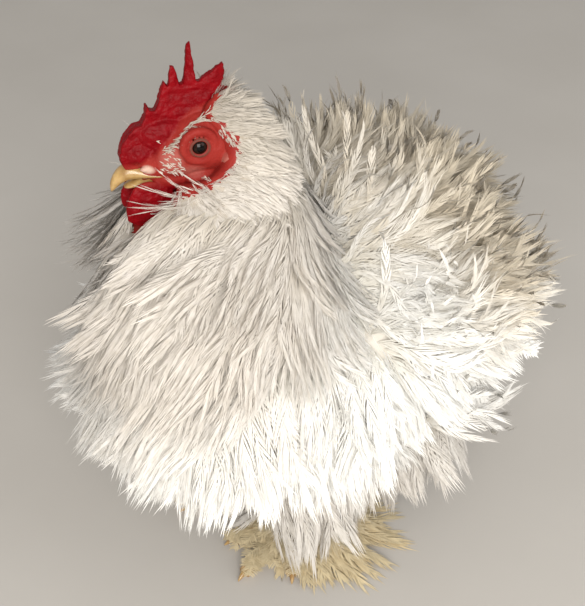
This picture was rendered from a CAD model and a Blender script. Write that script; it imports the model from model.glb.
"""The looks of the frizzle cock: bare red head, horn, wet eyes and a coat of curled white feathers."""

import math

import bmesh
import bpy
import numpy as np
from mathutils import Matrix, Vector, noise
from mathutils.kdtree import KDTree


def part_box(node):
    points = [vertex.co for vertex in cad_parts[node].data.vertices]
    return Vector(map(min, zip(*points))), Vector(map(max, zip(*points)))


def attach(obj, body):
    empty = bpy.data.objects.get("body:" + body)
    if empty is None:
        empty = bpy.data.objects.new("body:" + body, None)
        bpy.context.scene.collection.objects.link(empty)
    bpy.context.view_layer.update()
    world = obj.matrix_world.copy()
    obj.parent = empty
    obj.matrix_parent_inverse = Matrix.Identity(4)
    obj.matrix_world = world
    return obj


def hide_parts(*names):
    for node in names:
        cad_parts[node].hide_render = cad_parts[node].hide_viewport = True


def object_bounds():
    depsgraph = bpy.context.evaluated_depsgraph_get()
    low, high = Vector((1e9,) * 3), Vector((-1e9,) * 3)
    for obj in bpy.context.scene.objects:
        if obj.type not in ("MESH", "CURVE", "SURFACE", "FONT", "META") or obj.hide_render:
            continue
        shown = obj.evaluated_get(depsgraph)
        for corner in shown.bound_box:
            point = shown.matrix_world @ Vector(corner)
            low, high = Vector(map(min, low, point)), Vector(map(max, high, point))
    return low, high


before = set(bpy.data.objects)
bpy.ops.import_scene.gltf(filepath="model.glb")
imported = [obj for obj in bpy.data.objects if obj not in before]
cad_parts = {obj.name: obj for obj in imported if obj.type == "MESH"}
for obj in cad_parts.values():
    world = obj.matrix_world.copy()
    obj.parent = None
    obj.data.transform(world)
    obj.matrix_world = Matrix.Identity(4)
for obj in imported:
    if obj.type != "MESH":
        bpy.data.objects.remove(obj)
cad_low, cad_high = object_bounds()

# Where the bird stands
# The sizes below are the bird's own, in millimetres, with the floor at 0 and its middle line at x = 0.
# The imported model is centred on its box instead, and the left eye shows how far it was moved.
MM = 0.001
HEAD_AT = Vector((-7, -23, 228)) * MM
HEAD_TURN = math.radians(-28)
EYE_AT = Vector((10.6, 0, 0)) * MM
head_place = Matrix.Translation(HEAD_AT) @ Matrix.Rotation(HEAD_TURN, 4, "Z")
eye_low, eye_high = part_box("eye_left")
stand = (eye_low + eye_high) / 2 - head_place @ EYE_AT
stand.z = 0


def link(name, data):
    """An object in the scene for a mesh, light, curve or camera."""
    obj = bpy.data.objects.new(name, data)
    bpy.context.scene.collection.objects.link(obj)
    return obj


def mesh_from(name, bm):
    """The mesh of a bmesh, which is used up."""
    mesh = bpy.data.meshes.new(name)
    bm.to_mesh(mesh)
    bm.free()
    return mesh


def smooth_object(name, bm, finishes):
    """Makes a bmesh a smooth object where the bird stands, riding on the root."""
    bmesh.ops.recalc_face_normals(bm, faces=bm.faces)
    mesh = mesh_from(name, bm)
    mesh.transform(Matrix.Translation(stand))
    for finish in finishes:
        mesh.materials.append(finish)
    mesh.shade_smooth()
    obj = link(name, mesh)
    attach(obj, "root")
    return obj


# Camera
# The photo was taken from about half a metre away, to the left front of the bird and well above it.
# A lens a little longer than normal gives its framing.
VIEW_AZIMUTH = math.radians(45)
VIEW_ELEVATION = math.radians(36)
VIEW_DISTANCE = 0.56
LOOK_AT = Vector((0.0, 0.030, 0.112))
LOOK_AT_PIXEL = Vector((297, 318))
PICTURE = Vector((585, 606))
FOCAL_PIXELS = 1150
SENSOR = 36

back = Vector((
    math.sin(VIEW_AZIMUTH) * math.cos(VIEW_ELEVATION),
    -math.cos(VIEW_AZIMUTH) * math.cos(VIEW_ELEVATION),
    math.sin(VIEW_ELEVATION),
))
right = Vector((math.cos(VIEW_AZIMUTH), math.sin(VIEW_AZIMUTH), 0))
above = back.cross(right)
off_centre = (LOOK_AT_PIXEL - PICTURE / 2) * VIEW_DISTANCE / FOCAL_PIXELS
aim = LOOK_AT - right * off_centre.x + above * off_centre.y
eye_point = LOOK_AT + back * VIEW_DISTANCE
camera = link("camera", bpy.data.cameras.new("camera"))
camera.data.sensor_width = SENSOR
camera.data.lens = FOCAL_PIXELS / max(PICTURE) * SENSOR
camera.data.clip_start = 0.01
camera.location = eye_point + stand
camera.rotation_mode = "QUATERNION"
camera.rotation_quaternion = (aim - eye_point).to_track_quat("-Z", "Y")
bpy.context.scene.camera = camera
bpy.context.scene.view_settings.view_transform = "Standard"


# Floor and light
# A plain pale floor, with a large soft light beside the camera, a weaker one from the bird's left, and a
# dim even surround.
FLOOR_HALF = 4
FLOOR_DARK = (0.49, 0.46, 0.42, 1)
FLOOR_PALE = (0.52, 0.49, 0.45, 1)
KEY_PLACE = Vector((0.86, -0.80, 0.66))
KEY_WATTS, KEY_SIZE, KEY_COLOUR = 19.5, 0.8, (1.0, 0.98, 0.95)
FILL_PLACE = Vector((1.3, 0.35, 0.9))
FILL_WATTS, FILL_SIZE, FILL_COLOUR = 5, 0.9, (0.92, 0.96, 1.0)
SURROUND_COLOUR = (1.0, 0.985, 0.96, 1)
SURROUND_STRENGTH = 0.54


def new_finish(name, values):
    """A material with its node tree and its Principled shader, whose sockets are set by name."""
    finish = bpy.data.materials.new(name)
    finish.use_nodes = True
    shader = finish.node_tree.nodes["Principled BSDF"]
    for socket, value in values.items():
        shader.inputs[socket].default_value = value
    return finish, finish.node_tree, shader


def add_node(tree, kind, inputs, **settings):
    """A shader node with these settings, whose inputs take values or are linked to other nodes' outputs."""
    node = tree.nodes.new("ShaderNode" + kind)
    for name, value in settings.items():
        setattr(node, name, value)
    for name, value in inputs.items():
        if isinstance(value, bpy.types.NodeSocket):
            tree.links.new(value, node.inputs[name])
        else:
            node.inputs[name].default_value = value
    return node


def ramped(tree, value, *stops):
    """Colours picked by a value, from two or more pairs of a place between 0 and 1 and a colour."""
    node = add_node(tree, "ValToRGB", {"Fac": value})
    marks = node.color_ramp.elements
    for i, (at, colour) in enumerate(stops):
        mark = marks[i] if i < 2 else marks.new(at)
        mark.position = at
        mark.color = colour
    return node.outputs["Color"]


floor_paint, tree, shader = new_finish("pale_floor", {"Roughness": 0.9})
mottle = add_node(tree, "TexNoise", {"Scale": 60, "Detail": 4})
floor_colour = ramped(tree, mottle.outputs["Fac"], (0.3, FLOOR_DARK), (0.7, FLOOR_PALE))
tree.links.new(floor_colour, shader.inputs["Base Color"])
bm = bmesh.new()
bmesh.ops.create_grid(bm, x_segments=1, y_segments=1, size=FLOOR_HALF)
floor = link("floor", mesh_from("floor", bm))
floor.data.materials.append(floor_paint)

for name, place, watts, size, colour in (
    ("key_light", KEY_PLACE, KEY_WATTS, KEY_SIZE, KEY_COLOUR),
    ("fill_light", FILL_PLACE, FILL_WATTS, FILL_SIZE, FILL_COLOUR),
):
    light = bpy.data.lights.new(name, "AREA")
    light.energy = watts
    light.size = size
    light.color = colour
    lamp = link(name, light)
    lamp.location = place
    lamp.rotation_mode = "QUATERNION"
    lamp.rotation_quaternion = (LOOK_AT - place).to_track_quat("-Z", "Y")
world = bpy.data.worlds.new("surround")
world.use_nodes = True
world.node_tree.nodes["Background"].inputs["Color"].default_value = SURROUND_COLOUR
world.node_tree.nodes["Background"].inputs["Strength"].default_value = SURROUND_STRENGTH
bpy.context.scene.world = world


# Eyes
# Round wet eyes, so dark a brown that the pupil hardly shows, deep in a ring of bare lids.
# Each is a ball with its iris drawn by the distance from the middle of the pupil.
EYE_RADIUS = 3.8 * MM
PUPIL_BLACK = (0.002, 0.001, 0.001, 1)
IRIS_BROWN = (0.020, 0.006, 0.003, 1)
IRIS_RIM = (0.006, 0.003, 0.002, 1)

eye_finish, tree, shader = new_finish("dark_eye", {"Roughness": 0.08, "IOR": 1.38, "Specular IOR Level": 0.3})
iris = add_node(tree, "Attribute", {}, attribute_name="iris")
eye_colour = ramped(tree, iris.outputs["Fac"], (0.42, PUPIL_BLACK), (0.48, IRIS_BROWN), (0.72, IRIS_RIM))
tree.links.new(eye_colour, shader.inputs["Base Color"])

for side, name in ((1, "left"), (-1, "right")):
    bm = bmesh.new()
    bmesh.ops.create_uvsphere(bm, u_segments=48, v_segments=32, radius=EYE_RADIUS)
    ring = bm.verts.layers.float.new("iris")
    for v in bm.verts:
        v[ring] = math.hypot(v.co.y, v.co.z) / EYE_RADIUS
    bm.transform(head_place @ Matrix.Translation((EYE_AT.x * side, EYE_AT.y, EYE_AT.z)))
    eyeball = smooth_object("eyeball_" + name, bm, [eye_finish])
    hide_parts("eye_" + name)


# Beak
# Short, strong and hooked, of layered horn, ochre at the root and paler on the ridge.
# The upper half closes over the lower along the line of the mouth.

# Each row is a section: forward, height, half width, half height and lean in degrees.
BEAK_UPPER = (
    (12.0, -13.8, 7.3, 1.2, 0),
    (17.0, -13.5, 6.9, 1.9, 2),
    (21.0, -13.0, 6.0, 2.7, 4),
    (24.0, -12.7, 5.1, 3.3, 8),
    (27.0, -12.7, 4.3, 3.6, 16),
    (29.6, -13.5, 3.6, 3.3, 28),
    (31.8, -15.2, 2.8, 2.7, 42),
    (33.6, -17.6, 1.9, 1.9, 58),
    (34.6, -19.8, 1.0, 1.0, 70),
    (35.0, -21.0, 0.35, 0.35, 78),
)
BEAK_LOWER = (
    (12.0, -16.0, 6.9, 1.2, 0),
    (18.0, -16.9, 5.8, 1.6, 2),
    (22.4, -17.5, 4.6, 1.7, 6),
    (26.0, -18.4, 3.5, 1.4, 10),
    (28.6, -19.2, 2.3, 1.0, 16),
    (29.8, -19.7, 1.0, 0.6, 20),
)
BEAK_SIDES = 28
BEAK_STEPS = 5
NARROW_RIDGE = 0.12
HORN_DARK = (0.24, 0.12, 0.03, 1)
HORN_PALE = (0.50, 0.33, 0.13, 1)


def ring_points(forward, height, half_width, half_height, lean, count):
    """A round section across the head, narrower above, leaning forward at the top by lean degrees."""
    tip = math.radians(lean)
    points = []
    for i in range(count):
        turn = 2 * math.pi * i / count
        up = half_height * math.sin(turn)
        across = half_width * math.cos(turn) * (1 - NARROW_RIDGE * math.sin(turn))
        points.append(Vector((across, -(forward + up * math.sin(tip)), height + up * math.cos(tip))) * MM)
    return points


def add_loft(bm, rows):
    """A closed skin through rings of new vertices of equal count."""
    count = len(rows[0])
    for near, far in zip(rows, rows[1:]):
        for i in range(count):
            bm.faces.new((near[i], near[(i + 1) % count], far[(i + 1) % count], far[i]))
    bm.faces.new(rows[0])
    bm.faces.new(reversed(rows[-1]))


def add_sections(bm, sections):
    """A closed skin through sections across the head."""
    add_loft(bm, [[bm.verts.new(p) for p in section] for section in sections])


def finer_rows(rows, steps):
    """More sections between the given ones, on smooth curves."""
    table = np.array(rows, float)
    slopes = np.gradient(table, axis=0)
    made = []
    for i in range(len(table) - 1):
        for j in range(steps):
            t = j / steps
            a, b, slope_a, slope_b = table[i], table[i + 1], slopes[i], slopes[i + 1]
            made.append(
                (2 * t**3 - 3 * t**2 + 1) * a + (t**3 - 2 * t**2 + t) * slope_a
                + (-2 * t**3 + 3 * t**2) * b + (t**3 - t**2) * slope_b
            )
    made.append(table[-1])
    return made


horn, tree, shader = new_finish("beak_horn", {
    "Roughness": 0.28, "Coat Weight": 0.35, "Coat Roughness": 0.15,
    "Subsurface Weight": 0.12, "Subsurface Radius": (0.003, 0.0015, 0.0006),
})
place = add_node(tree, "TexCoord", {})
stretch = add_node(tree, "Mapping", {
    "Vector": place.outputs["Object"], "Scale": (1, 0.25, 1), "Rotation": (0, 0, -HEAD_TURN),
})
grain = add_node(tree, "TexNoise", {"Vector": stretch.outputs["Vector"], "Scale": 260, "Detail": 5})
horn_colour = ramped(tree, grain.outputs["Fac"], (0.3, HORN_DARK), (0.72, HORN_PALE))
horn_bump = add_node(tree, "Bump", {"Height": grain.outputs["Fac"], "Strength": 0.12, "Distance": 0.0004})
tree.links.new(horn_colour, shader.inputs["Base Color"])
tree.links.new(horn_bump.outputs["Normal"], shader.inputs["Normal"])

for name, rows in (("upper", BEAK_UPPER), ("lower", BEAK_LOWER)):
    bm = bmesh.new()
    add_sections(bm, [ring_points(*row, BEAK_SIDES) for row in finer_rows(rows, BEAK_STEPS)])
    bm.transform(head_place)
    mandible = smooth_object("mandible_" + name, bm, [horn])
    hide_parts("beak_" + name)


# Skin of the head
# Bare red skin over the face, swollen into a tall single comb, two wattles and the ear lobes.
# It is one piece with the skin of the body, which the feathers hide.

# Head sections are forward, height, half width and half height. The comb's corners are forward and height.
HEAD_SECTIONS = (
    (22.6, -11.0, 5.2, 6.4),
    (17.0, -8.2, 8.0, 8.6),
    (9.0, -5.4, 11.0, 11.6),
    (0.0, -2.6, 12.9, 13.6),
    (-9.0, -1.6, 13.4, 13.8),
    (-17.0, -2.6, 11.4, 11.6),
    (-22.0, -4.0, 6.6, 6.8),
)
HEAD_STEPS = 4
HEAD_SIDES = 32
COMB_BASE = ((29.0, -10.5), (24.0, -11.0), (14.0, -4.0), (5.0, 3.0), (-4.0, 6.6), (-10.0, 9.0))
COMB_TOP = (
    (-10.6, 15.0), (-11.8, 19.0), (-13.9, 26.0), (-13.4, 29.3), (-10.6, 28.4), (-6.6, 25.6), (-3.0, 22.8),
    (-1.9, 24.0), (-1.3, 32.0), (-0.5, 39.6), (1.1, 38.4), (1.6, 31.0), (2.8, 22.6), (4.4, 21.8),
    (5.8, 29.6), (7.9, 30.6), (8.6, 24.5), (9.0, 21.0), (10.5, 24.2), (11.8, 21.5), (13.6, 15.5), (15.1, 12.8),
    (17.2, 13.4), (18.4, 15.8), (19.2, 11.5), (21.0, 7.6), (24.0, 7.0), (26.6, 4.4), (29.4, 0.2), (30.8, -4.0),
    (30.6, -8.0),
)
COMB_HEIGHT = 30
COMB_THICK = 7.4
COMB_TIP_THICK = 2.3
COMB_SWAYS = ((0.9, 0.22, 0), (0.5, 0.7, 1))
# Round each eye, a thin rim of lid and a thick outer fold: radius, thickness, how far out, and height share.
LID_RIM = (3.75 * MM, 0.75 * MM, 2.3 * MM, 0.92)
OUTER_FOLD = (6.4 * MM, 1.9 * MM, 0.9 * MM, 1.0)
RING_STEPS, RING_SIDES = 40, 12
WATTLE_AT = Vector((6.2, -20.0, -27.2)) * MM
WATTLE_SIZE = Vector((2.5, 11.4, 11.8)) * MM
WATTLE_LEAN = math.radians(14)
WATTLE_FOLD, WATTLE_NARROWING, WATTLE_SCALLOP = 0.4, 0.22, 0.16
LOBE_AT = Vector((13.8, 12.2, -6.4)) * MM
LOBE_SIZE = Vector((3.0, 3.4, 4.0)) * MM
# Swellings of the face, as place and radii: three in the middle, and the others on both sides.
FACE_BLOBS = (
    ((0, -9, -16), (8.4, 12, 7)),
    ((0, -12, 2), (6.4, 13, 8)),
    ((0, -22, -5), (6.0, 8, 6)),
    ((7.5, 2, -15.5), (4.6, 8, 4.2)),
    ((8.5, 2, -22), (2.6, 7, 6)),
    ((10, 9, -19), (2.4, 5, 5)),
    ((11.4, 12.5, -1.2), (1.6, 3.4, 1.3)),
    ((5.6, -20.5, -10.2), (1.2, 3.2, 1.3)),
)
COMB_FOOT = ((-6, 1.4, 9.6, 17, 25), (13.0, 10.5, 2.8, -5.0, -10.0))
HEAD_VOXEL = 0.42 * MM
CRUMPLE_SCALE, CRUMPLE_DEPTH = 420, 0.30
PIMPLE_SCALE, PIMPLE_DEPTH = 1500, 0.05


def add_ball(bm, centre, radii, turn=Matrix.Identity(4), segments=24):
    """A stretched sphere inside a larger mesh."""
    made = bmesh.ops.create_uvsphere(bm, u_segments=segments, v_segments=segments // 2, radius=1)
    shape = Matrix.Translation(centre) @ turn @ Matrix.Diagonal((*radii, 1))
    bmesh.ops.transform(bm, matrix=shape, verts=made["verts"])


def made_mesh(obj):
    """The mesh that an object's curve or modifiers give. The object is removed."""
    bpy.context.view_layer.update()
    made = bpy.data.meshes.new_from_object(obj.evaluated_get(bpy.context.evaluated_depsgraph_get()))
    bpy.data.objects.remove(obj)
    return made


def add_comb(bm):
    """The comb as a plate, thick at its base and thin at its points, with a soft S bend."""
    curve = bpy.data.curves.new("comb_outline", "CURVE")
    curve.dimensions = "2D"
    curve.fill_mode = "BOTH"
    curve.extrude = 1
    corners = COMB_BASE + COMB_TOP
    outline = []
    for (a, b), (c, d) in zip(corners, corners[1:] + corners[:1]):
        outline += [(a, b), (a + (c - a) / 2, b + (d - b) / 2)]
    spline = curve.splines.new("POLY")
    spline.points.add(len(outline) - 1)
    for target, (forward, height) in zip(spline.points, outline):
        target.co = (-forward, height, 0, 1)
    spline.use_cyclic_u = True
    mesh = made_mesh(link("comb_outline", curve))
    plate = bmesh.new()
    plate.from_mesh(mesh)
    bmesh.ops.remove_doubles(plate, verts=plate.verts, dist=1e-4)
    bmesh.ops.triangulate(plate, faces=plate.faces)
    bmesh.ops.subdivide_edges(plate, edges=plate.edges, cuts=2, use_grid_fill=True)
    for v in plate.verts:
        share = min(1, max(0, v.co.y / COMB_HEIGHT))
        half = (COMB_THICK * (1 - share) + COMB_TIP_THICK * share) / 2
        sway = sum(wide * math.sin(v.co.x * rate + start) * share for wide, rate, start in COMB_SWAYS)
        v.co = Vector((v.co.z * half + sway, v.co.x, v.co.y)) * MM
    plate.to_mesh(mesh)
    plate.free()
    bm.from_mesh(mesh)


def add_ring(bm, side, radius, thick, out, tall):
    """A swollen ring of bare skin round one eye."""
    rows = []
    for i in range(RING_STEPS):
        turn = 2 * math.pi * i / RING_STEPS
        spoke = Vector((0, math.cos(turn), math.sin(turn) * tall))
        row = []
        for j in range(RING_SIDES):
            roll = 2 * math.pi * j / RING_SIDES
            at = spoke * (radius + math.cos(roll) * thick)
            row.append(bm.verts.new(((EYE_AT.x + out + math.sin(roll) * thick) * side, at.y, at.z)))
        rows.append(row)
    for near, far in zip(rows, rows[1:] + rows[:1]):
        for j in range(RING_SIDES):
            bm.faces.new((near[j], near[(j + 1) % RING_SIDES], far[(j + 1) % RING_SIDES], far[j]))


def add_wattle(bm, side):
    """One wattle: a thin hanging lobe with soft folds and a scalloped edge."""
    made = bmesh.ops.create_uvsphere(bm, u_segments=40, v_segments=30, radius=1)
    for v in made["verts"]:
        fold = WATTLE_FOLD * math.cos(v.co.y * 5) * max(0, -v.co.z + 0.3)
        wide = 1 - WATTLE_NARROWING * max(0, v.co.z)
        v.co.z -= WATTLE_SCALLOP * math.cos(v.co.y * 4.5) * max(0, -v.co.z)
        x = (v.co.x + fold) * WATTLE_SIZE.x * side
        v.co = Vector((x, v.co.y * wide * WATTLE_SIZE.y, v.co.z * WATTLE_SIZE.z))
    at = Matrix.Translation((WATTLE_AT.x * side, WATTLE_AT.y, WATTLE_AT.z))
    bmesh.ops.transform(bm, matrix=at @ Matrix.Rotation(WATTLE_LEAN, 4, "X"), verts=made["verts"])


def remeshed(name, bm, voxel, rounds):
    """One closed skin over everything in the bmesh, at this fineness, smoothed."""
    bmesh.ops.recalc_face_normals(bm, faces=bm.faces)
    obj = link(name, mesh_from(name, bm))
    remesh = obj.modifiers.new("skin", "REMESH")
    remesh.mode = "VOXEL"
    remesh.voxel_size = voxel
    soften = obj.modifiers.new("soften", "SMOOTH")
    soften.iterations = rounds
    soften.factor = 0.5
    return made_mesh(obj)


def vertex_rows(mesh, what):
    """The co or the normal of every vertex, one row each."""
    values = np.empty(len(mesh.vertices) * 3)
    mesh.vertices.foreach_get(what, values)
    return values.reshape(-1, 3)


def keep_colours(mesh, name, colours):
    """Keeps four numbers for each vertex under a name that a material reads."""
    mesh.attributes.new(name, "FLOAT_COLOR", "POINT").data.foreach_set("color", colours.ravel())


bm = bmesh.new()
add_sections(bm, [ring_points(*row, 0, HEAD_SIDES) for row in finer_rows(HEAD_SECTIONS, HEAD_STEPS)])
add_comb(bm)
for side in (1, -1):
    add_ring(bm, side, *LID_RIM)
    add_ring(bm, side, *OUTER_FOLD)
    add_wattle(bm, side)
    add_ball(bm, Vector((LOBE_AT.x * side, LOBE_AT.y, LOBE_AT.z)), LOBE_SIZE)
for (x, y, z), radii in FACE_BLOBS:
    for side in (1, -1) if x else (1,):
        add_ball(bm, Vector((x * side, y, z)) * MM, Vector(radii) * MM)
head_mesh = remeshed("head_skin", bm, HEAD_VOXEL, 4)

places, normals = vertex_rows(head_mesh, "co"), vertex_rows(head_mesh, "normal")
across, forward, height = np.abs(places[:, 0]) / MM, -places[:, 1] / MM, places[:, 2] / MM


def near_to(centre, radii):
    """1 at a place on the head, given across, forward and up, falling smoothly to 0 at the radii."""
    far = (across - centre[0]) ** 2 / radii[0] ** 2
    far = far + (forward - centre[1]) ** 2 / radii[1] ** 2 + (height - centre[2]) ** 2 / radii[2] ** 2
    return np.clip(1 - far, 0, 1)


from_eye = np.hypot(forward, height)
comb_mask = np.clip((height - np.interp(forward, *COMB_FOOT)) / 2.5, 0, 1) * np.clip((10.5 - across) / 3, 0, 1)
wattle_mask = np.clip((-15.0 - height) / 4, 0, 1)
ear_mask = near_to((13, -12.6, -6.8), (4.6, 4.2, 4.8)) * 1.6
flap_mask = near_to((6.4, 20.5, -10.2), (2.4, 4, 2.2)) * 1.2
pale_mask = near_to((9.5, 11, -6), (6, 6, 7)) + 0.8 * near_to((11, 4, -11), (5, 7, 4))
lid_mask = np.clip(1 - np.abs(from_eye - 3.7) / 0.9, 0, 1) * (across > 10)
keep_colours(head_mesh, "marks", np.stack([
    comb_mask + wattle_mask, np.clip(np.maximum(ear_mask, flap_mask), 0, 1), np.clip(pale_mask, 0, 1), lid_mask,
], 1))
crumple = np.array([noise.fractal(Vector(p) * CRUMPLE_SCALE, 1.0, 2.0, 3) for p in places])
pimples = np.array([noise.noise(Vector(p) * PIMPLE_SCALE) for p in places])
swell = CRUMPLE_DEPTH * crumple * (0.35 + comb_mask + wattle_mask) + PIMPLE_DEPTH * pimples
clear_of_eye = np.clip((from_eye - 5.0) / 2, 0.15, 1)
places = places + normals * (swell * MM * clear_of_eye)[:, None]
head_mesh.vertices.foreach_set("co", places.ravel())
head_mesh.transform(head_place)


# Shared skin effects
# Red skin is covered in tiny round bumps, and its colour comes and goes with the blood under it.
# Bare and covered skin both use this, at their own sizes.
def effect_group(name, inputs, outputs):
    """An effect as a node group with its two ends, from named inputs with values and named outputs."""
    group = bpy.data.node_groups.new(name, "ShaderNodeTree")
    for label, kind, value in inputs:
        socket = group.interface.new_socket(label, in_out="INPUT", socket_type="NodeSocket" + kind)
        socket.default_value = value
    for label, kind in outputs:
        group.interface.new_socket(label, in_out="OUTPUT", socket_type="NodeSocket" + kind)
    return group, group.nodes.new("NodeGroupInput"), group.nodes.new("NodeGroupOutput")


def mixed(tree, factor, low, high, blend="MIX"):
    """A mix of two colours, each given as a colour or a socket."""
    inputs = {"Factor": factor, "A": low, "B": high}
    return add_node(tree, "Mix", inputs, data_type="RGBA", blend_type=blend).outputs["Result"]


bumps, group_in, group_out = effect_group(
    "skin_bumps", (("Size", "Float", 900), ("Depth", "Float", 0.4)), (("Flush", "Float"), ("Height", "Float")),
)
where = add_node(bumps, "TexCoord", {}).outputs["Object"]
cells = add_node(
    bumps, "TexVoronoi", {"Vector": where, "Scale": group_in.outputs["Size"], "Smoothness": 0.4},
    feature="SMOOTH_F1",
)
cloud = add_node(bumps, "TexNoise", {"Vector": where, "Scale": 170, "Detail": 4})
deep = add_node(bumps, "Math", {0: cells.outputs["Distance"], 1: group_in.outputs["Depth"]}, operation="MULTIPLY")
bumps.links.new(deep.outputs["Value"], group_out.inputs["Height"])
bumps.links.new(cloud.outputs["Fac"], group_out.inputs["Flush"])

FACE_REDS = ((0.19, 0.009, 0.008, 1), (0.34, 0.036, 0.026, 1))
COMB_REDS = ((0.10, 0.0005, 0.002, 1), (0.26, 0.0012, 0.005, 1))
PALE_FACE = (0.36, 0.10, 0.08, 1)
PALE_LOBE = (0.56, 0.38, 0.30, 1)
LID_BROWN = (0.11, 0.05, 0.035, 1)

red_skin, tree, shader = new_finish("bare_red_skin", {
    "Roughness": 0.46, "Specular IOR Level": 0.10,
    "Subsurface Weight": 0.10, "Subsurface Radius": (0.004, 0.0008, 0.0006),
})
zones = add_node(tree, "Attribute", {}, attribute_name="marks")
split = add_node(tree, "SeparateColor", {"Color": zones.outputs["Color"]})
effect = add_node(tree, "Group", {"Size": 1100}, node_tree=bumps)
face_red = mixed(tree, effect.outputs["Flush"], *FACE_REDS)
comb_red = mixed(tree, effect.outputs["Flush"], *COMB_REDS)
colour = mixed(tree, split.outputs["Red"], face_red, comb_red)
colour = mixed(tree, split.outputs["Blue"], colour, PALE_FACE)
colour = mixed(tree, split.outputs["Green"], colour, PALE_LOBE)
colour = mixed(tree, zones.outputs["Alpha"], colour, LID_BROWN)
relief = add_node(tree, "Bump", {"Height": effect.outputs["Height"], "Strength": 0.55, "Distance": 0.0006})
tree.links.new(colour, shader.inputs["Base Color"])
tree.links.new(relief.outputs["Normal"], shader.inputs["Normal"])


# Feather colour
# The plumage is white on the flanks, cooler on the neck, buff on the crown, back and tail and dusty low down.
# Skin and coat take their tone from the same places, and every feather is darker near its root.
COOL_WHITE = (0.67, 0.62, 0.56)
WARM_WHITE = (0.92, 0.91, 0.88)
CREAM = (0.62, 0.52, 0.37)
GREY_BUFF = (0.44, 0.38, 0.29)
CROWN_BUFF = (0.45, 0.40, 0.33)
FLUFF_GREY = (0.66, 0.62, 0.57)
STRAW = (0.72, 0.60, 0.38)
# Each tone is laid on at a share, between two places along one or two directions, over the ones before it.
TONES = (
    (COOL_WHITE, 1.0, (((0, -0.6, 1), 130, 190),)),
    (CROWN_BUFF, 0.65, (((0, 0, 1), 206, 230),)),
    (CREAM, 0.8, (((0, 1, 0), 20, 70), ((0, 0, 1), 110, 150))),
    (GREY_BUFF, 0.8, (((0, 1, 0.5), 160, 200),)),
    (FLUFF_GREY, 1.0, (((0, 0, -1), -95, -60),)),
    (STRAW, 1.0, (((0, 0, -1), -26, -8),)),
)
CLOUD_SCALE, CLOUD_DEPTH = 0.045, 0.07


def eased(value, low, high):
    """0 below low, 1 above high and smooth between."""
    t = np.clip((value - low) / (high - low), 0, 1)
    return t * t * (3 - 2 * t)


def plumage_tone(points):
    """The coat's colour at places given in millimetres."""
    tone = np.repeat(np.array([WARM_WHITE]), len(points), 0)
    for colour, full, bands in TONES:
        share = full * np.prod([eased(points @ np.array(way), low, high) for way, low, high in bands], axis=0)
        tone = tone + (np.array(colour) - tone) * share[:, None]
    shade = np.array([noise.noise(Vector(point) * CLOUD_SCALE) for point in points])
    return tone * (1 + CLOUD_DEPTH * shade[:, None])


# Skin of the body
# Thin pinkish skin over the neck, trunk, wings, thighs and rump, all under the feathers.
# It lies just inside the solids' cores, so the coat grows from it out to the tips.

# Body parts are centre, radii out to the feather tips and tilt. The neck's balls are centres and radii.
COAT_OUT = 24
SKIN_INSET = 1.5
BODY_PARTS = (
    ((0, 44, 110), (96, 110, 90), 16),
    ((-2, -16, 120), (88, 74, 78), 0),
    ((0, 56, 74), (94, 82, 58), 0),
    ((0, 110, 146), (68, 50, 52), 0),
)
NECK_LINE = (
    (0, -2, 118, 64), (-1, -12, 146, 55), (-2, -14, 172, 45), (0, -11, 194, 34),
    (2, -8, 212, 24), (0, -11, 228, 18), (-1, -13, 238, 12),
)
NECK_STEPS = 6
NECK_SLIMMER = 0.93
# The wings and the thighs, as centre, radii and how much slimmer the skin is.
LIMB_CORES = (((58, 52, 117), (15, 60, 35), 0.96), ((25, 18, 46), (18, 28, 23), 1))
SKIN_VOXEL = 2.2 * MM
# The bare face, as places and radii on the head. The body's skin is sunk there, below the head's own.
BARE_PLACES = (
    ((0, -3, -4), (22, 24, 15)), ((0, -8, 16), (5, 24, 24)), ((0, -19, -26), (13, 16, 21)),
    ((0, -29, -14), (7, 11, 11)), ((0, 3, -15), (17, 14, 12)),
)
BARE_SUNK = 7.0
RED_UNDER_FEATHERS = 4.0

bm = bmesh.new()
for centre, tips, tilt in BODY_PARTS:
    radii = (Vector(tips) - Vector((COAT_OUT + SKIN_INSET,) * 3)) * MM
    add_ball(bm, Vector(centre) * MM, radii, Matrix.Rotation(math.radians(tilt), 4, "X"))
for row in finer_rows(NECK_LINE, NECK_STEPS):
    add_ball(bm, Vector(row[:3]) * MM, [(row[3] - SKIN_INSET) * NECK_SLIMMER * MM] * 3)
for side in (1, -1):
    for (x, y, z), radii, slimmer in LIMB_CORES:
        add_ball(bm, Vector((x * side, y, z)) * MM, Vector(radii) * MM * slimmer)
body_mesh = remeshed("body_skin", bm, SKIN_VOXEL, 10)


def bare_share(points, grow=0.0):
    """How far inside the bare face places in millimetres lie: 1 at its middle and 0 or less outside."""
    turned = points - np.array(HEAD_AT) / MM
    c, s = math.cos(-HEAD_TURN), math.sin(-HEAD_TURN)
    x = turned[..., 0] * c - turned[..., 1] * s
    y = turned[..., 0] * s + turned[..., 1] * c
    local = np.stack((x, y, turned[..., 2]), -1)
    shares = [
        1 - np.linalg.norm((local - np.array(at)) / (np.array(size) + grow), axis=-1)
        for at, size in BARE_PLACES
    ]
    return np.max(shares, axis=0)


spots = vertex_rows(body_mesh, "co")
sunk = np.clip(bare_share(spots / MM) * 4, 0, 1)
spots = spots - vertex_rows(body_mesh, "normal") * sunk[:, None] * BARE_SUNK * MM
body_mesh.vertices.foreach_set("co", spots.ravel())
keep_colours(body_mesh, "marks", np.zeros((len(spots), 4)))
keep_colours(body_mesh, "tone", np.concatenate((plumage_tone(spots / MM), np.ones((len(spots), 1))), 1))
body_mesh.update()

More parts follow.
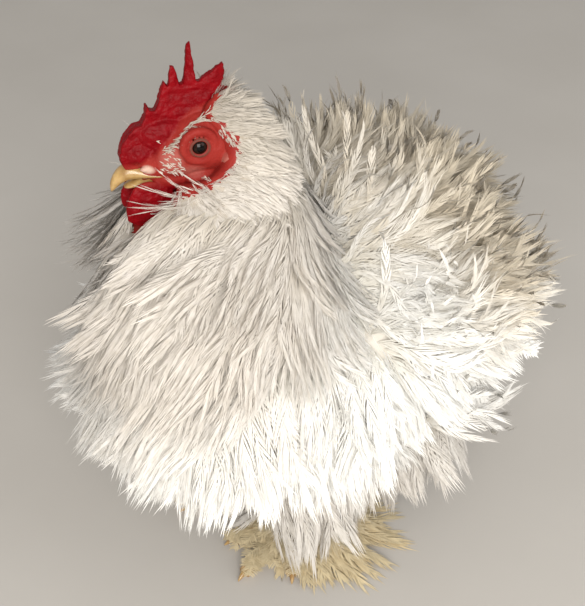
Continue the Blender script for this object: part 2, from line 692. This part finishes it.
SKIN_SHADES = ((0.62, 0.58, 0.52, 1), (0.84, 0.80, 0.74, 1))
covered_skin, tree, shader = new_finish("covered_skin", {"Roughness": 0.7})
effect = add_node(tree, "Group", {"Size": 300}, node_tree=bumps)
tone = add_node(tree, "Attribute", {}, attribute_name="tone")
mottled = mixed(tree, effect.outputs["Flush"], *SKIN_SHADES)
down = mixed(tree, 1.0, tone.outputs["Color"], mottled, "MULTIPLY")
tree.links.new(down, shader.inputs["Base Color"])

bm = bmesh.new()
bm.from_mesh(head_mesh)
for face in bm.faces:
    face.material_index = 0
first, head_count = len(bm.faces), len(bm.verts)
bm.from_mesh(body_mesh)
bm.verts.index_update()
bm.faces.ensure_lookup_table()
covered = bare_share(spots / MM, RED_UNDER_FEATHERS) < 0
for face in bm.faces[first:]:
    face.material_index = int(covered[face.verts[0].index - head_count])
skin = smooth_object("skin", bm, [red_skin, covered_skin])
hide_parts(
    "head", "comb", "wattle_left", "wattle_right", "lobe_left", "lobe_right", "neck", "torso",
    "tail", "wing_left", "wing_right", "leg_left", "leg_right",
)


# Feather material
# Feathers are matt with a faint sheen, darker and duller near the root and lightly mottled over the vane.
# Their tone comes from their place on the bird, and its alpha is the share along the feather.
FULL = (1, 1, 1, 1)
MOTTLE_SHADE = (0.86, 0.85, 0.82, 1)
ROOT_SHADE = (0.70, 0.67, 0.60, 1)

plume_tint, group_in, group_out = effect_group(
    "plume_tint", (("Tone", "Color", FULL), ("Along", "Float", 1)), (("Colour", "Color"),),
)
where = add_node(plume_tint, "TexCoord", {}).outputs["Object"]
cloud = add_node(plume_tint, "TexNoise", {"Vector": where, "Scale": 320, "Detail": 3})
product = group_in.outputs["Tone"]
for value, *stops in (
    (cloud.outputs["Fac"], (0.3, MOTTLE_SHADE), (0.7, FULL)),
    (group_in.outputs["Along"], (0.0, ROOT_SHADE), (0.55, FULL)),
):
    product = mixed(plume_tint, 1.0, product, ramped(plume_tint, value, *stops), "MULTIPLY")
plume_tint.links.new(product, group_out.inputs["Colour"])

plume, tree, shader = new_finish("white_plume", {
    "Roughness": 0.62, "Specular IOR Level": 0.25, "Sheen Weight": 0.25, "Sheen Roughness": 0.5,
})
tone = add_node(tree, "Attribute", {}, attribute_name="tone")
inputs = {"Tone": tone.outputs["Color"], "Along": tone.outputs["Alpha"]}
tint = add_node(tree, "Group", inputs, node_tree=plume_tint)
tree.links.new(tint.outputs["Colour"], shader.inputs["Base Color"])


# Hackle
# Narrow pointed neck feathers that hang over the breast, each curled outwards and gathered in locks.
# A feather is a shaft with a row of fine barbs on each side, rooted in the skin.
NECK_FACE = (np.array((0, -15, 160)), np.array((0, -0.60, 0.80)))
TRIES_A_ROOT = 5
LOCK_SPREAD = 0.25
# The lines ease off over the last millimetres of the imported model's box, and stay just above the floor.
BOX_LOW = (np.array(cad_low) - np.array(stand)) / MM
BOX_HIGH = (np.array(cad_high) - np.array(stand)) / MM
BOX_EASE = 9
FLOOR_GAP = 0.4
# Feathers are shorter near the face, low down, under the breast, at the back corners and along the hem.
FACE_KEEP = 2.0
FACE_SHARE, FACE_RATE = 0.36, 1.6
LOW_HEIGHT, LOW_SHARE = 55, 0.42
UNDER_BREAST_CUT, BACK_CORNER_CUT = 0.38, 0.26
HEM = (np.array((0, 12, 20)), np.array((0, 0.32, 0.95)))
HEM_END = (-25, 22)
HEM_SLACK = 60
SHORTEST = 9
# Their lie drifts over the body, and under it they hang down.
DRIFT_SEED, DRIFT_SCALE = 5, 0.035
LIFT_DRIFT, CURL_DRIFT, SWAY_DRIFT = 10, 30, 55
HANG, HANG_FROM = 70, 0.35
# A barb has three stations: share of its run, how far out, how far up and how broad.
BARB_STATIONS = ((0, 0.0, 0.0, 0.8), (0.5, 0.62, 0.35, 1.0), (1, 1.0, 1.0, 0))
BARB_FACES = np.array(((0, 1, 3), (0, 3, 2), (2, 3, 4)))
SHAFT_FACES = np.array(((0, 1, 3), (0, 3, 2)))
BARBS_FROM, BARBS_TO = 0.02, 0.93
OWN_SHADE = 0.42
UNWRAP_CENTRE = np.array((0, 35, 112))
PATCH = 0.003

noise.seed_set(DRIFT_SEED)
body_mesh.calc_loop_triangles()
skin_points, skin_normals = vertex_rows(body_mesh, "co") / MM, vertex_rows(body_mesh, "normal")
skin_triangles = np.empty(len(body_mesh.loop_triangles) * 3, int)
body_mesh.loop_triangles.foreach_get("vertices", skin_triangles)
skin_triangles = skin_triangles.reshape(-1, 3)


def unit(vectors):
    """Vectors of length 1."""
    return vectors / np.maximum(np.linalg.norm(vectors, axis=-1, keepdims=True), 1e-9)


def past(points, face):
    """Which points lie beyond a plane."""
    return (points - face[0]) @ face[1] > 0


def spread_roots(rng, spacing, where):
    """Places and normals spread over the part of the skin that where picks out."""
    corners = skin_points[skin_triangles]
    areas = np.linalg.norm(np.cross(corners[:, 1] - corners[:, 0], corners[:, 2] - corners[:, 0]), axis=1)
    wanted = where(corners.mean(1), unit(skin_normals[skin_triangles].mean(1)))
    areas = np.where(wanted, areas, 0)
    tries = int(areas.sum() / 2 / spacing**2 * TRIES_A_ROOT)
    picked = rng.choice(len(areas), tries, p=areas / areas.sum())
    a, b = rng.random((2, tries))
    flip = a + b > 1
    a, b = np.where(flip, 1 - a, a), np.where(flip, 1 - b, b)
    share = np.stack((1 - a - b, a, b), 1)[:, :, None]
    points = (corners[picked] * share).sum(1)
    normals = unit((skin_normals[skin_triangles[picked]] * share).sum(1))
    taken, kept = {}, []
    for i, cell in enumerate(map(tuple, np.floor(points / spacing).astype(int))):
        close = (
            taken.get((cell[0] + dx, cell[1] + dy, cell[2] + dz))
            for dx in (-1, 0, 1) for dy in (-1, 0, 1) for dz in (-1, 0, 1)
        )
        if all(j is None or np.sum((points[i] - points[j]) ** 2) > spacing**2 for j in close):
            taken[cell] = i
            kept.append(i)
    return points[kept], normals[kept]


def gathered(points, feathers, pull, rng):
    """Draws the tips of neighbouring feathers together, into locks of about this many feathers."""
    roots, tips = points[:, 0], points[:, -1]
    middles = rng.choice(len(roots), max(1, int(len(roots) / feathers)), replace=False)
    tree = KDTree(len(middles))
    for i, j in enumerate(middles):
        tree.insert(Vector(roots[j]), i)
    tree.balance()
    nearest = np.array([middles[tree.find(Vector(root))[1]] for root in roots])
    bend = np.linspace(0, 1, points.shape[1]) ** 2
    shift = (tips[nearest] + (roots - roots[nearest]) * LOCK_SPREAD - tips) * pull
    return points + shift[:, None] * bend[None, :, None]


def spine_lines(roots, normals, lie, length, lift, curl, sway, steps, loft=0.0):
    """The line of each feather's shaft: lofted off the skin at its root, then flat, then curling outwards."""
    lie = unit(lie - normals * np.sum(lie * normals, 1, keepdims=True))
    side = np.cross(normals, lie)
    t = (np.arange(steps) + 0.5) / steps
    rise = np.radians(loft * np.exp(-((t / 0.22) ** 2)) + lift[:, None] + curl[:, None] * t**2)
    swing = np.radians(sway[:, None] * (t**1.3 + 0.35 * np.sin(4.2 * t)))
    way = (
        lie[:, None] * (np.cos(rise) * np.cos(swing))[..., None]
        + side[:, None] * (np.cos(rise) * np.sin(swing))[..., None]
        + normals[:, None] * np.sin(rise)[..., None]
    )
    lines = np.cumsum(way, 1) * (length / steps)[:, None, None]
    return roots[:, None] + np.concatenate((np.zeros((len(roots), 1, 3)), lines), 1)


def lance(t):
    """Half width along a narrow pointed feather."""
    return np.sin(np.pi * np.clip(t * 0.86 + 0.10, 0, 1)) ** 0.8


def taken_at(values, t):
    """Values along every feather at other shares of its length, carried on straight past its tip."""
    steps = values.shape[1] - 1
    at = np.clip(np.floor(t * steps).astype(int), 0, steps - 1)
    rest = (t * steps - at)[..., None]
    rows = np.arange(len(values))[:, None]
    return values[rows, at] * (1 - rest) + values[rows, at + 1] * rest


def eased_into_box(points):
    """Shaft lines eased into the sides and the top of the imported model's box, above the floor."""
    over = np.maximum(points - (BOX_HIGH - BOX_EASE), 0)
    under = np.maximum(BOX_LOW + BOX_EASE - points, 0) * (1, 1, 0)
    points = points - over + BOX_EASE * (1 - np.exp(-over / BOX_EASE))
    points = points + under - BOX_EASE * (1 - np.exp(-under / BOX_EASE))
    points[..., 2] = np.maximum(points[..., 2], FLOOR_GAP)
    return points


def bake_patches(roots, far):
    """A small patch for each feather's vertices, at its root's place on an unwrap of the skin."""
    outward = unit(roots - UNWRAP_CENTRE)
    u = np.arctan2(outward[:, 0], -outward[:, 1]) / (2 * math.pi) + 0.5
    v = np.arccos(np.clip(outward[:, 2], -1, 1)) / math.pi
    spot = np.stack((u, v), 1) * (1 - 2 * PATCH) + PATCH
    across = np.tile((-0.5, 0.5), (len(far) + 1) // 2)[:len(far)]
    local = np.stack((across, far - 0.5), 1) * PATCH
    return (spot[:, None] + local[None]).reshape(-1, 2)


def feather_mesh(name, points, normals, width, rng, shape, barbs, slant, strand, ruffle, shaft=0.3):
    """The mesh of many feathers, given the lines of their shafts in millimetres.

    Each barb is a thin ribbon that leaves the shaft, runs on beside it for the share slant of the feather's
    length and ends in a point out at the edge of the vane.
    """
    count, total = len(points), barbs * 2
    points = eased_into_box(points)
    tangent = unit(np.gradient(points, axis=1))
    side = unit(np.cross(tangent, normals[:, None] + 1e-3))
    flat = np.cross(side, tangent)
    hand = np.tile((1.0, -1.0), barbs)[None, :, None]
    begin = np.repeat(np.linspace(BARBS_FROM, BARBS_TO, barbs), 2)
    start = np.clip(begin[None] + rng.uniform(-0.5, 0.5, (count, total)) / barbs, 0, 0.96)
    run = slant * (1 - 0.35 * start) * rng.uniform(0.75, 1.25, (count, total))
    out = width[:, None] / 2 * shape(np.clip(start + run * 0.6, 0, 1)) * rng.uniform(0.7, 1.12, (count, total))
    rise = rng.normal(0, 1, (count, total)) * ruffle * width[:, None] / 2
    roll = rng.uniform(-0.3, 0.3, (count, total))[..., None]
    thick = strand * rng.uniform(0.7, 1.2, (count, total))[..., None]
    rows, shading = [], []
    for share, wide, lift, broad in BARB_STATIONS:
        t = start + run * share
        across, up = taken_at(side, t), taken_at(flat, t)
        centre = taken_at(points, t) + across * hand * (out * wide)[..., None] + up * (rise * lift)[..., None]
        edge = (across + up * roll) * thick * broad / 2
        facing = unit(up * OWN_SHADE + normals[:, None] * (1 - OWN_SHADE) + across * roll * 0.5)
        rows += [centre - edge, centre + edge] if broad else [centre]
        shading += [facing, facing] if broad else [facing]
    each = len(rows)
    rows, shading = (np.stack(part, 2).reshape(count, total * each, 3) for part in (rows, shading))
    rod = np.stack((points - side * shaft / 2, points + side * shaft / 2), 2)[:, ::2].reshape(count, -1, 3)
    rod_shading = np.repeat(unit(flat * OWN_SHADE + normals[:, None] * (1 - OWN_SHADE))[:, ::2], 2, axis=1)
    verts = np.concatenate((rows, rod), 1)
    shading = np.concatenate((shading, rod_shading), 1)
    faces = np.concatenate((
        (np.arange(total)[:, None, None] * each + BARB_FACES).reshape(-1, 3),
        (np.arange(rod.shape[1] // 2 - 1)[:, None, None] * 2 + SHAFT_FACES).reshape(-1, 3) + total * each,
    ))
    faces = (np.arange(count)[:, None, None] * verts.shape[1] + faces).reshape(-1, 3)
    far = (begin[:, None] + slant * np.array((0, 0, 0.5, 0.5, 1))).ravel()
    far = np.clip(np.concatenate((far, np.repeat(np.linspace(0, 1, points.shape[1])[::2], 2))), 0, 1)
    tone = plumage_tone(points[:, 0] * 0.6 + points[:, -1] * 0.4) * rng.uniform(0.94, 1.05, (count, 1))
    colours = np.empty((*verts.shape[:2], 4))
    colours[..., :3] = tone[:, None]
    colours[..., 3] = far
    verts = verts.reshape(-1, 3)
    verts[:, 2] = np.maximum(verts[:, 2], FLOOR_GAP)

    mesh = bpy.data.meshes.new(name)
    mesh.vertices.add(len(verts))
    mesh.vertices.foreach_set("co", ((verts * MM) + np.array(stand)).ravel())
    mesh.loops.add(faces.size)
    mesh.loops.foreach_set("vertex_index", faces.ravel())
    mesh.polygons.add(len(faces))
    mesh.polygons.foreach_set("loop_start", np.arange(len(faces)) * 3)
    mesh.update(calc_edges=True)
    keep_colours(mesh, "tone", colours)
    layer = mesh.uv_layers.new(name="OFBake")
    layer.data.foreach_set("uv", bake_patches(points[:, 0], far)[faces.ravel()].ravel())
    mesh.materials.append(plume)
    mesh.shade_smooth()
    mesh.attributes.new("custom_normal", "FLOAT_VECTOR", "POINT").data.foreach_set("vector", shading.ravel())
    obj = link(name, mesh)
    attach(obj, "root")
    return obj


def coat_lines(seed, spacing, where, lie, length, width, lift, curl, sway, lock, loft, steps=10):
    """The shaft lines, skin normals, widths and random numbers of one stretch of coat.

    Length and width are ranges in millimetres, and lift, curl and sway are ranges in degrees. A lock is about
    how many feathers gather and how strongly.
    """
    rng = np.random.default_rng(seed)
    roots, normals = spread_roots(rng, spacing, where)
    clear = bare_share(roots, -FACE_KEEP) < 0
    roots, normals = roots[clear], normals[clear]
    count = len(roots)
    length, width, lift, curl, sway = (rng.uniform(*span, count) for span in (length, width, lift, curl, sway))
    near_face = np.clip(FACE_SHARE - bare_share(roots, -FACE_KEEP) * FACE_RATE, FACE_SHARE, 1)
    length = length * near_face * np.clip(roots[:, 2] / LOW_HEIGHT, LOW_SHARE, 1)
    under_breast = eased(-normals[:, 2], 0.02, 0.45) * (1 - eased(roots[:, 1], *HEM_END))
    back_corner = eased(np.abs(normals[:, 0]) * np.maximum(normals[:, 1], 0), 0.15, 0.42)
    length = length * (1 - UNDER_BREAST_CUT * under_breast) * (1 - BACK_CORNER_CUT * back_corner)
    room = (roots - HEM[0]) @ HEM[1] * rng.uniform(0.85, 1.2, count) + HEM_SLACK * eased(roots[:, 1], *HEM_END)
    length = np.minimum(length, np.maximum(room, SHORTEST))
    width = width * np.sqrt(near_face)
    drift = np.array([noise.noise_vector(Vector(root) * DRIFT_SCALE) for root in roots])
    hanging = np.clip(-normals[:, 2] - HANG_FROM, 0, 1) * HANG
    lift = lift + drift[:, 0] * LIFT_DRIFT + hanging
    curl = (curl + drift[:, 1] * CURL_DRIFT) * (1 - hanging / HANG)
    sway = sway + drift[:, 2] * SWAY_DRIFT
    loft = loft * near_face.mean()
    lines = spine_lines(roots - normals * 1.0, normals, lie(roots), length, lift, curl, sway, steps, loft)
    if lock:
        lines = gathered(lines, *lock, rng)
    off_face = np.max(bare_share(lines, -2.5), axis=1) < 0.03
    return lines[off_face], normals[off_face], width[off_face], rng


def coat_piece(name, vane, **growth):
    """One stretch of coat, from the build of its feathers' vanes and the way they grow."""
    points, normals, width, rng = coat_lines(**growth)
    return feather_mesh(name, points, normals, width, rng, **vane)


def hackle_lie(p):
    """Straight down the far side and the nape of the neck, and forwards over the near front of it."""
    swept = eased(p[:, :1], -30, 12) * eased(-p[:, 1:2], -8, 26)
    return np.array((-0.20, -0.28, -1.0)) + swept * np.array((0.0, -0.5, 0.1))


coat_piece(
    "hackle", seed=11, spacing=2.05, where=lambda p, n: past(p, NECK_FACE) & (p[:, 2] < 206), lie=hackle_lie,
    length=(36, 48), width=(4.6, 7.0), lift=(0, 8), curl=(5, 46), sway=(-28, 28), lock=(11, 0.58), loft=42,
    vane=dict(shape=lance, barbs=16, slant=0.34, strand=0.50, ruffle=0.09),
)


# Crown and cheeks
# Short soft feathers round the bare face, over the crown and down the nape.
# They lie away from the middle of the crown and back towards the nape.
CROWN_MIDDLE = (-12, -34, 228)
CROWN_BACKWARD = (0, 14, -18)

coat_piece(
    "crown", seed=12, spacing=1.15, where=lambda p, n: (p[:, 2] >= 204) & past(p, NECK_FACE),
    lie=lambda p: (p - np.array(CROWN_MIDDLE)) * np.array((1, 1, 0.6)) + np.array(CROWN_BACKWARD),
    length=(10, 15), width=(2.2, 3.4), lift=(0, 6), curl=(0, 16), sway=(-16, 16), lock=(7, 0.5), loft=10, steps=6,
    vane=dict(shape=lance, barbs=8, slant=0.42, strand=0.34, ruffle=0.10),
)


# Bristles
# A row of fine white bristles stands along the foot of the comb, with more over the face and round the ears.
# Longer strands from behind the jaw curl forwards across the wattles.
STRAND_WIDTH, BRISTLE_WIDTH = 2.1, 0.35

rng = np.random.default_rng(51)
bristles = []


def add_bristle(root, way, length, curl, lift):
    """Notes down a bristle of the head, with its length, curl and lift drawn from these ranges."""
    bristles.append((root, way, rng.uniform(*length), rng.uniform(*curl), rng.uniform(*lift)))


for side in (1, -1):
    for forward_at in np.linspace(14.5, -5, 74):
        foot = np.interp(forward_at, *COMB_FOOT) + rng.uniform(-2.4, 0.4)
        wide = np.interp(forward_at, (-5, 8, 20), (7.0, 8.0, 6.6))
        way = (0.25 * side, 1.0, 0.55 + rng.uniform(-0.4, 0.4))
        add_bristle((wide * side, -forward_at, foot), way, (3.0, 6.5), (-10, 50), (10, 40))
    for i in range(90):
        root = (12.0 * side, rng.uniform(-18, -8), rng.uniform(-13, 2))
        add_bristle(root, (0, 1.0, rng.uniform(-0.5, 0.3)), (1.0, 2.2), (0, 50), (5, 30))
    for i in range(44):
        root = (rng.uniform(9, 13) * side, rng.uniform(0, 16), rng.uniform(-34, -20))
        add_bristle(root, (0.35 * side, -1.0, rng.uniform(-0.2, 0.6)), (18, 32), (-50, 50), (5, 30))
head_tree = KDTree(len(head_mesh.vertices))
for i, v in enumerate(head_mesh.vertices):
    head_tree.insert(v.co, i)
head_tree.balance()
turn = np.array(head_place.to_3x3())
roots, ways, lengths, curls, lifts = (np.array(part) for part in zip(*bristles))
placed = np.array([head_tree.find(head_place @ (Vector(root) * MM))[0] for root in roots]) / MM
facing = np.array([turn @ unit(root * (1, 0.1, 0.1)) for root in roots])
sways = rng.uniform(-60, 60, len(roots))
lines = spine_lines(placed, facing, ways @ turn.T, lengths, lifts, curls, sways, 8)
feather_mesh(
    "bristles", lines, facing, np.where(lengths > 10, STRAND_WIDTH, BRISTLE_WIDTH), rng,
    shape=lance, barbs=6, slant=0.4, strand=0.21, ruffle=0.06, shaft=0.15,
)


# Breast
# Pointed curled feathers down the breast and belly front, gathered in spiky locks.
# They lie straight down and a little outwards.
def on_breast(p, n):
    """The front of the trunk, below the neck."""
    return ~past(p, NECK_FACE) & (p[:, 1] < 14) & (n[:, 2] > -0.97)


coat_piece(
    "breast", seed=13, spacing=2.95, where=on_breast,
    lie=lambda p: np.array((0.0, -0.05, -1.0)) + unit(p * np.array((1, 0, 0))) * 0.12,
    length=(38, 51), width=(5.6, 8.6), lift=(1, 9), curl=(10, 66), sway=(-32, 32), lock=(12, 0.62), loft=38,
    vane=dict(shape=lance, barbs=17, slant=0.34, strand=0.54, ruffle=0.09),
)


# Back and saddle
# Broad feathers curled so far outwards that they stand up along the back.
# The strongest curls stand out among them, as rings and hooks.
TAIL_FACE = (np.array((0, 92, 150)), np.array((0, 0.84, 0.54)))


def on_back(p, n):
    """The upper trunk behind the neck, down to the wings."""
    behind = ~past(p, NECK_FACE) & ~past(p, TAIL_FACE) & (p[:, 1] >= 14)
    return behind & ((n[:, 2] > 0.25) | (p[:, 2] > 128))


def saddle_lie(p):
    """Backwards, down and out over the hips."""
    return np.array((0.0, 0.9, -0.35)) + p * np.array((0.006, 0, 0))


coat_piece(
    "saddle", seed=14, spacing=2.5, where=on_back, lie=saddle_lie,
    length=(34, 47), width=(5.2, 8.8), lift=(2, 14), curl=(30, 118), sway=(-75, 75), lock=(11, 0.6), loft=38,
    vane=dict(shape=lance, barbs=17, slant=0.34, strand=0.52, ruffle=0.10),
)
coat_piece(
    "saddle_hooks", seed=24, spacing=7.0, where=lambda p, n: on_back(p, n) & (p[:, 1] < 88), lie=saddle_lie,
    length=(44, 54), width=(3.6, 5), lift=(6, 20), curl=(70, 130), sway=(-120, 120), lock=None, loft=50, steps=14,
    vane=dict(shape=lance, barbs=18, slant=0.2, strand=0.6, ruffle=0.06),
)


# Sides and wings
# The folded wing's coverts overlap in tiers down the flank.
# Smooth white flight feathers stand out at the back, each from the skin nearest to its place.
FLIGHT_ROOTS = (
    (70, 60, 128), (72, 70, 120), (73, 78, 112), (72, 86, 104), (68, 92, 96), (72, 58, 106), (74, 46, 98),
    (74, 66, 96), (72, 34, 92),
)
FLIGHTS_OUT = 9


def on_side(p, n):
    """The flanks from the wing down to the fluff."""
    behind = ~past(p, NECK_FACE) & ~past(p, TAIL_FACE) & (p[:, 1] >= 14) & (p[:, 1] < 112)
    return behind & ~on_back(p, n) & (p[:, 2] > 84)


def spoon(t):
    """Half width along a broad feather with a rounded end."""
    return np.clip(1.1 * np.sin(np.pi * np.clip(t * 0.78 + 0.12, 0, 1)) ** 0.5, 0, 1)


for side, name in ((1, "left"), (-1, "right")):
    coat_piece(
        "flank_" + name, seed=15 + side, spacing=2.4, where=lambda p, n: on_side(p, n) & (p[:, 0] * side > 0),
        lie=lambda p: np.array((0.0, 0.45, -0.9)) + 0 * p,
        length=(28, 38), width=(5, 9), lift=(0, 6), curl=(4, 46), sway=(-34, 34), lock=(11, 0.55), loft=26,
        vane=dict(shape=lance, barbs=17, slant=0.36, strand=0.52, ruffle=0.08),
    )
    rng = np.random.default_rng(30 + side)
    roots = np.array(FLIGHT_ROOTS) * (side, 1, 1) + rng.uniform(-2, 2, (len(FLIGHT_ROOTS), 3))
    found = [np.argmin(np.sum((skin_points - root) ** 2, 1)) for root in roots]
    roots, normals = skin_points[found], skin_normals[found]
    count = len(roots)
    lines = spine_lines(
        roots + normals * FLIGHTS_OUT, normals, lie=np.tile((0.0, 0.9, -0.5), (count, 1)),
        length=rng.uniform(36, 46, count), lift=rng.uniform(4, 10, count), curl=rng.uniform(-4, 24, count),
        sway=rng.uniform(-24, 24, count), steps=12,
    )
    feather_mesh(
        "flights_" + name, lines, normals, rng.uniform(10, 13, count), rng,
        shape=spoon, barbs=40, slant=0.16, strand=1.1, ruffle=0.02, shaft=0.7,
    )


# Tail
# A soft rounded cushion of curled feathers, with no long sickles.
# They lie away from its middle, backwards and down, and a few of them curl over into hooks.
TAIL_MIDDLE = np.array((0, 110, 146))


def tail_lie(p):
    """Away from the tail's middle, backwards and down."""
    return unit(p - TAIL_MIDDLE) * 0.6 + np.array((0, 0.9, -0.7))


coat_piece(
    "tail_cushion", seed=18, spacing=2.3, where=lambda p, n: past(p, TAIL_FACE) & (p[:, 2] > 84), lie=tail_lie,
    length=(20, 27), width=(6, 10), lift=(1, 7), curl=(10, 70), sway=(-75, 75), lock=(10, 0.58), loft=34,
    vane=dict(shape=lance, barbs=18, slant=0.44, strand=0.32, ruffle=0.24),
)
coat_piece(
    "tail_hooks", seed=25, spacing=12.0, where=lambda p, n: past(p, TAIL_FACE) & (p[:, 2] > 100), lie=tail_lie,
    length=(26, 34), width=(3.4, 5), lift=(2, 10), curl=(60, 150), sway=(-110, 110), lock=None, loft=30, steps=14,
    vane=dict(shape=lance, barbs=18, slant=0.2, strand=0.6, ruffle=0.06),
)


# Fluff
# Loose downy feathers over the belly, thighs and rump.
# They hang in soft wisps almost to the floor.
coat_piece(
    "fluff", seed=19, spacing=2.7, where=lambda p, n: ~on_breast(p, n) & ~on_back(p, n) & (p[:, 2] <= 86),
    lie=lambda p: np.array((0.0, 0.12, -1.0)) + 0 * p,
    length=(32, 42), width=(6, 10), lift=(2, 10), curl=(2, 20), sway=(-20, 20), lock=(11, 0.55), loft=36,
    vane=dict(shape=lance, barbs=17, slant=0.42, strand=0.40, ruffle=0.14),
)


# Feet
# Four scaly toes with worn claws, flat on the floor, under a fan of long stiff feathers.
# The feathers grow in three tiers round the shank and in two rows along each front toe.
ANKLES = {"left": (20, 8), "right": (-20, 18)}
FOOT_TURN = 10
# Each toe is how far it is turned outwards and how long it is.
TOES = ((-32, 33), (0, 42), (34, 35), (180, 20))
TOE_RADIUS = 4.0
TOE_TAPER, TOE_KNUCKLES = 0.35, 0.07
TOE_STEPS, CLAW_STEPS = 24, 8
CLAW_SIZE = 7.5
SHANK_RADIUS, SHANK_FLARE = 5.8, 1.2
# Each tier of the fan is the turns between which it grows, its height and its share of the full length.
FOOT_FANS = ((-30, 200, 3, 0.9), (-20, 190, 8, 0.75), (10, 175, 13, 0.6))
FAN_STEP = 4.5
FAN_LENGTHS = ((-30, 0, 30, 60, 110, 150, 200), (20, 24, 34, 50, 62, 58, 34))
TOE_YELLOWS = ((0.36, 0.22, 0.10, 1), (0.72, 0.50, 0.26, 1))
SCALE_GAP = (0.24, 0.14, 0.06, 1)

scutes, group_in, group_out = effect_group(
    "scutes", (("Along", "Float", 0), ("Band", "Float", 2.4)), (("Height", "Float"),),
)
height = group_in.outputs["Along"]
for operation, amount in (("DIVIDE", group_in.outputs["Band"]), ("PINGPONG", 0.5), ("POWER", 0.35)):
    height = add_node(scutes, "Math", {0: height, 1: amount}, operation=operation).outputs["Value"]
scutes.links.new(height, group_out.inputs["Height"])

scaly, tree, shader = new_finish("scaly_toe", {"Roughness": 0.5})
along = add_node(tree, "Attribute", {}, attribute_name="along")
bands = add_node(tree, "Group", {"Along": along.outputs["Fac"]}, node_tree=scutes)
where = add_node(tree, "TexCoord", {}).outputs["Object"]
dirt = add_node(tree, "TexNoise", {"Vector": where, "Scale": 140, "Detail": 5})
yellow = mixed(tree, dirt.outputs["Fac"], *TOE_YELLOWS)
colour = mixed(tree, bands.outputs["Height"], SCALE_GAP, yellow)
relief = add_node(tree, "Bump", {"Height": bands.outputs["Height"], "Strength": 0.8, "Distance": 0.0005})
tree.links.new(colour, shader.inputs["Base Color"])
tree.links.new(relief.outputs["Normal"], shader.inputs["Normal"])


def add_digit(bm, line, count, mark):
    """A closed round limb through (centre, radius) pairs, with the distance along it kept."""
    rows, run = [], 0.0
    for i, (centre, radius) in enumerate(line):
        before = line[max(i - 1, 0)][0]
        run += (centre - before).length
        turn = (line[min(i + 1, len(line) - 1)][0] - before).to_track_quat("Y", "Z")
        row = []
        for j in range(count):
            roll = 2 * math.pi * j / count
            v = bm.verts.new(centre + turn @ Vector((math.cos(roll), 0, math.sin(roll))) * radius)
            v.co.z = max(v.co.z, 0)
            v[mark] = run
            row.append(v)
        rows.append(row)
    add_loft(bm, rows)


def pointing(turn, side):
    """The level direction that lies this many degrees outwards from straight ahead."""
    outward = math.radians(turn * side)
    return np.array((math.sin(outward), -math.cos(outward), 0))


for side, name in ((1, "left"), (-1, "right")):
    ankle = Vector((*ANKLES[name], 0))
    digits, claws = bmesh.new(), bmesh.new()
    digit_mark = digits.verts.layers.float.new("along")
    claw_mark = claws.verts.layers.float.new("along")
    shank = [(ankle + Vector((0, 0, z)), SHANK_RADIUS + SHANK_FLARE * (z < 6)) for z in range(2, 32, 2)]
    add_digit(digits, shank, 20, digit_mark)
    for turn, reach in TOES:
        way = Vector(pointing(turn + FOOT_TURN, side))
        line, hook = [], []
        for i in range(TOE_STEPS + 1):
            share = i / TOE_STEPS
            knuckles = 1 + TOE_KNUCKLES * math.cos(share * 6 * math.pi)
            radius = TOE_RADIUS * (1.1 - TOE_TAPER * share) * knuckles
            line.append((ankle + way * reach * share + Vector((0, 0, radius * 0.82)), radius))
        for i in range(CLAW_STEPS + 1):
            share = i / CLAW_STEPS
            drop = Vector((0, 0, 3.0 + 1.2 * share - 3.4 * share**2))
            hook.append((ankle + way * (reach - 2 + CLAW_SIZE * share) + drop, 2.0 * (1 - share) ** 0.7 + 0.15))
        add_digit(digits, line, 18, digit_mark)
        add_digit(claws, hook, 12, claw_mark)
    for limb, label, finish in ((digits, "toes_", scaly), (claws, "claws_", horn)):
        bmesh.ops.scale(limb, vec=(MM, MM, MM), verts=limb.verts)
        made = smooth_object(label + name, limb, [finish])
        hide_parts("foot_" + name)

    rng = np.random.default_rng(40 + side)
    roots, ways, lengths = [], [], []
    for low, high, height, share in FOOT_FANS:
        for turn in np.arange(low, high, FAN_STEP):
            way = pointing(turn + rng.uniform(-4, 4), side)
            roots.append(np.array((*ankle[:2], height)) + way * np.interp(turn, (-30, 200), (6, -4)))
            ways.append(way)
            lengths.append(np.interp(turn, *FAN_LENGTHS) * share * rng.uniform(0.85, 1.1))
    for turn, reach in TOES[:3]:
        way = pointing(turn + FOOT_TURN, side)
        for share in np.linspace(0.1, 0.85, 18):
            roots.append(np.array((*ankle[:2], 7.2 - 1.5 * share)) + way * reach * share)
            ways.append(pointing(turn + FOOT_TURN + rng.uniform(-30, 50), side))
            lengths.append(rng.uniform(11, 19) * (1.1 - 0.5 * share))
    count = len(roots)
    upward = np.tile((0.0, 0.0, 1.0), (count, 1))
    lift = rng.uniform(-2, 6, count)
    sweep = rng.uniform(0, 34, count) * side
    lines = spine_lines(np.array(roots), upward, np.array(ways), np.array(lengths), lift, -14 - lift, sweep, 10)
    foot = feather_mesh(
        "foot_fan_" + name, lines, upward, rng.uniform(7, 11, count), rng,
        shape=spoon, barbs=28, slant=0.28, strand=0.8, ruffle=0.04, shaft=0.6,
    )
    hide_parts("foot_" + name)
